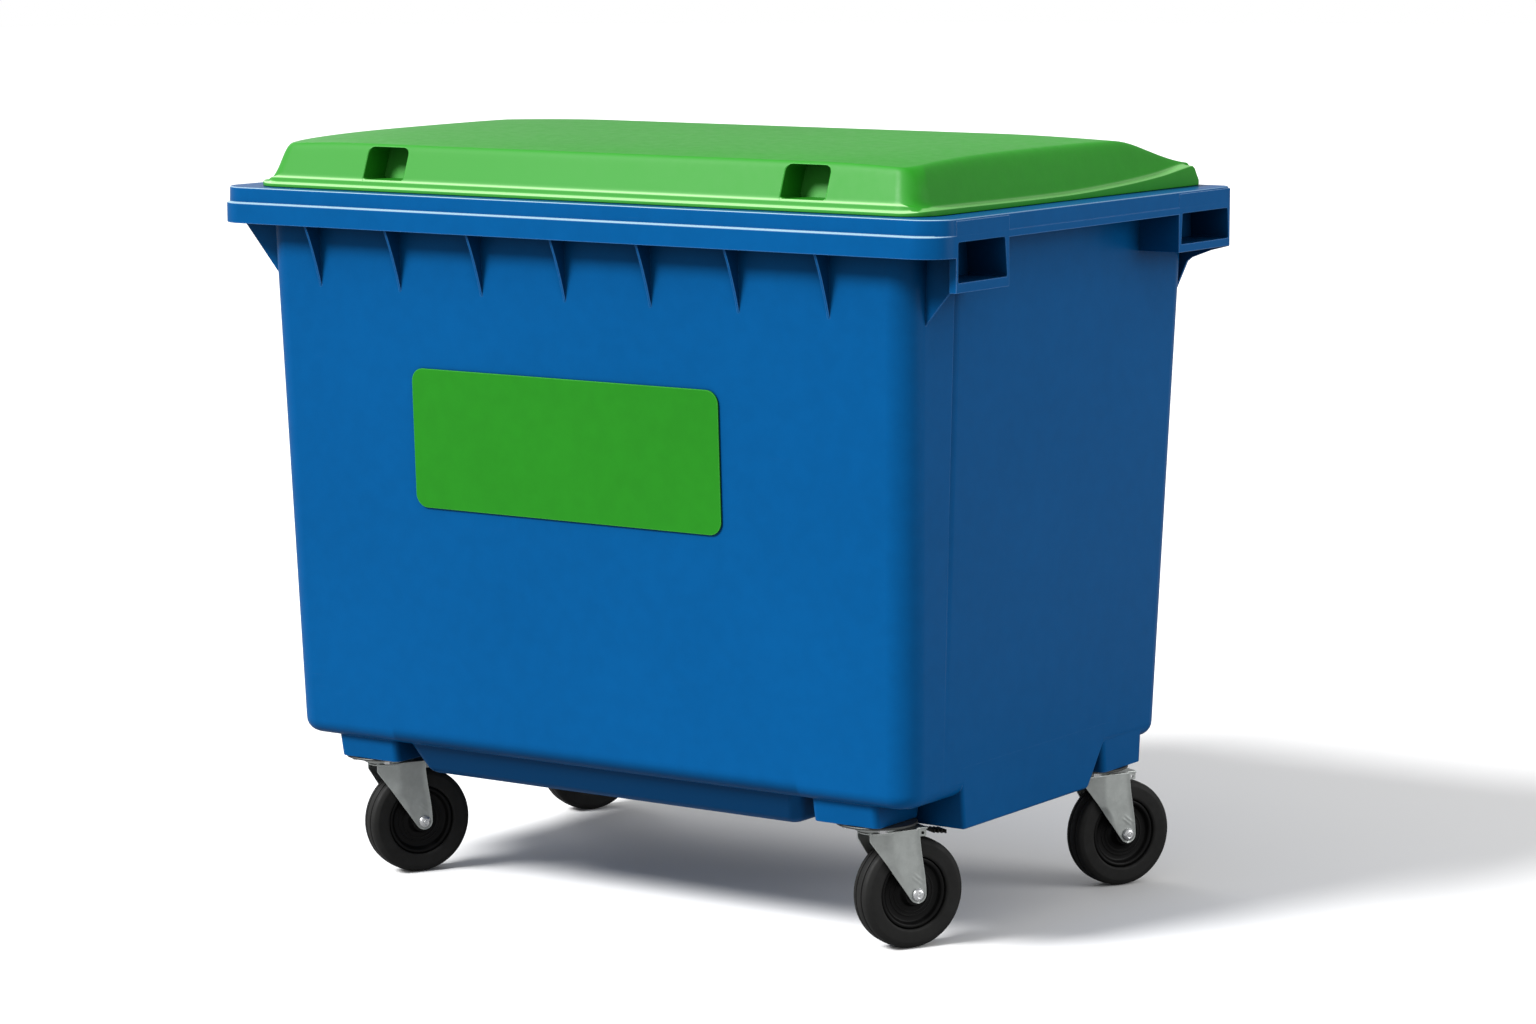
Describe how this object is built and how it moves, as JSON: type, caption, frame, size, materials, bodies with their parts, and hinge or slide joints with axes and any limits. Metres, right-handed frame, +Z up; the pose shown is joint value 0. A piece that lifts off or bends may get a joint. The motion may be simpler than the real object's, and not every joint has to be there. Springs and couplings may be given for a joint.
{
  "type": "four-wheeled waste container",
  "caption": "Large wheeled waste bin: tapered moulded hopper with a ribbed lifting rim and hand holds, a hinged domed lid with finger grips, and swivelling casters.",
  "frame": {"origin": "on the floor under the middle of the bin", "axes": "+X along the length towards the bin's left-hand end seen from behind, -Y towards the front, +Z up"},
  "size_m": [1.26, 0.863, 1.12],
  "materials": {
    "body_blue": "moulded blue polyethylene, faint grain",
    "lid_green": "moulded green polyethylene, faint grain",
    "zinc_steel": "galvanised pressed steel, satin",
    "bright_steel": "zinc-plated fastener",
    "tyre_rubber": "solid black rubber",
    "hub_black": "black nylon"
  },
  "bodies": {
    "bin": {"hopper": "body_blue", "front_panel": "lid_green", "drain_plug": "hub_black", "hinge_pin_left": "bright_steel", "hinge_pin_right": "bright_steel", "top_plate_front_left": "zinc_steel", "ball_race_front_left": "zinc_steel", "mount_bolt_front_left_1": "bright_steel", "mount_bolt_front_left_2": "bright_steel", "mount_bolt_front_left_3": "bright_steel", "mount_bolt_front_left_4": "bright_steel", "top_plate_front_right": "zinc_steel", "ball_race_front_right": "zinc_steel", "mount_bolt_front_right_1": "bright_steel", "mount_bolt_front_right_2": "bright_steel", "mount_bolt_front_right_3": "bright_steel", "mount_bolt_front_right_4": "bright_steel", "top_plate_rear_left": "zinc_steel", "ball_race_rear_left": "zinc_steel", "mount_bolt_rear_left_1": "bright_steel", "mount_bolt_rear_left_2": "bright_steel", "mount_bolt_rear_left_3": "bright_steel", "mount_bolt_rear_left_4": "bright_steel", "top_plate_rear_right": "zinc_steel", "ball_race_rear_right": "zinc_steel", "mount_bolt_rear_right_1": "bright_steel", "mount_bolt_rear_right_2": "bright_steel", "mount_bolt_rear_right_3": "bright_steel", "mount_bolt_rear_right_4": "bright_steel"},
    "lid": {"lid": "lid_green"},
    "caster_front_left": {"fork_front_left": "zinc_steel", "kingpin_front_left": "bright_steel", "axle_bolt_front_left": "bright_steel", "axle_nut_front_left": "bright_steel", "bush_front_left": "bright_steel"},
    "wheel_front_left": {"wheel_centre_front_left": "hub_black", "tyre_front_left": "tyre_rubber"},
    "brake_pedal_front_left": {"brake_pedal_front_left": "hub_black"},
    "caster_front_right": {"fork_front_right": "zinc_steel", "kingpin_front_right": "bright_steel", "axle_bolt_front_right": "bright_steel", "axle_nut_front_right": "bright_steel", "bush_front_right": "bright_steel"},
    "wheel_front_right": {"wheel_centre_front_right": "hub_black", "tyre_front_right": "tyre_rubber"},
    "brake_pedal_front_right": {"brake_pedal_front_right": "hub_black"},
    "caster_rear_left": {"fork_rear_left": "zinc_steel", "kingpin_rear_left": "bright_steel", "axle_bolt_rear_left": "bright_steel", "axle_nut_rear_left": "bright_steel", "bush_rear_left": "bright_steel"},
    "wheel_rear_left": {"wheel_centre_rear_left": "hub_black", "tyre_rear_left": "tyre_rubber"},
    "caster_rear_right": {"fork_rear_right": "zinc_steel", "kingpin_rear_right": "bright_steel", "axle_bolt_rear_right": "bright_steel", "axle_nut_rear_right": "bright_steel", "bush_rear_right": "bright_steel"},
    "wheel_rear_right": {"wheel_centre_rear_right": "hub_black", "tyre_rear_right": "tyre_rubber"}
  },
  "joints": [
    {"name": "lid_hinge", "type": "hinge", "parent": "bin", "child": "lid", "pos_m": [0, 0.4185, 1.04], "axis": [-1, 0, 0], "range_deg": [0, 260]},
    {"name": "swivel_front_left", "type": "hinge", "parent": "bin", "child": "caster_front_left", "pos_m": [-0.44, -0.2835, 0.178], "axis": [0, 0, 1], "continuous": true},
    {"name": "wheel_spin_front_left", "type": "hinge", "parent": "caster_front_left", "child": "wheel_front_left", "pos_m": [-0.41606, -0.23847, 0.08], "axis": [-0.8829, 0.4695, 0], "continuous": true},
    {"name": "brake_front_left", "type": "hinge", "parent": "caster_front_left", "child": "brake_pedal_front_left", "pos_m": [-0.41019, -0.22743, 0.1655], "axis": [-0.8829, 0.4695, 0], "range_deg": [0, 12]},
    {"name": "swivel_front_right", "type": "hinge", "parent": "bin", "child": "caster_front_right", "pos_m": [0.44, -0.2835, 0.178], "axis": [0, 0, 1], "continuous": true},
    {"name": "wheel_spin_front_right", "type": "hinge", "parent": "caster_front_right", "child": "wheel_front_right", "pos_m": [0.46394, -0.23847, 0.08], "axis": [-0.8829, 0.4695, 0], "continuous": true},
    {"name": "brake_front_right", "type": "hinge", "parent": "caster_front_right", "child": "brake_pedal_front_right", "pos_m": [0.46981, -0.22743, 0.1655], "axis": [-0.8829, 0.4695, 0], "range_deg": [0, 12]},
    {"name": "swivel_rear_left", "type": "hinge", "parent": "bin", "child": "caster_rear_left", "pos_m": [-0.49, 0.2235, 0.178], "axis": [0, 0, 1], "continuous": true},
    {"name": "wheel_spin_rear_left", "type": "hinge", "parent": "caster_rear_left", "child": "wheel_rear_left", "pos_m": [-0.46606, 0.26853, 0.08], "axis": [-0.8829, 0.4695, 0], "continuous": true},
    {"name": "swivel_rear_right", "type": "hinge", "parent": "bin", "child": "caster_rear_right", "pos_m": [0.49, 0.2235, 0.178], "axis": [0, 0, 1], "continuous": true},
    {"name": "wheel_spin_rear_right", "type": "hinge", "parent": "caster_rear_right", "child": "wheel_rear_right", "pos_m": [0.51394, 0.26853, 0.08], "axis": [-0.8829, 0.4695, 0], "continuous": true}
  ]
}
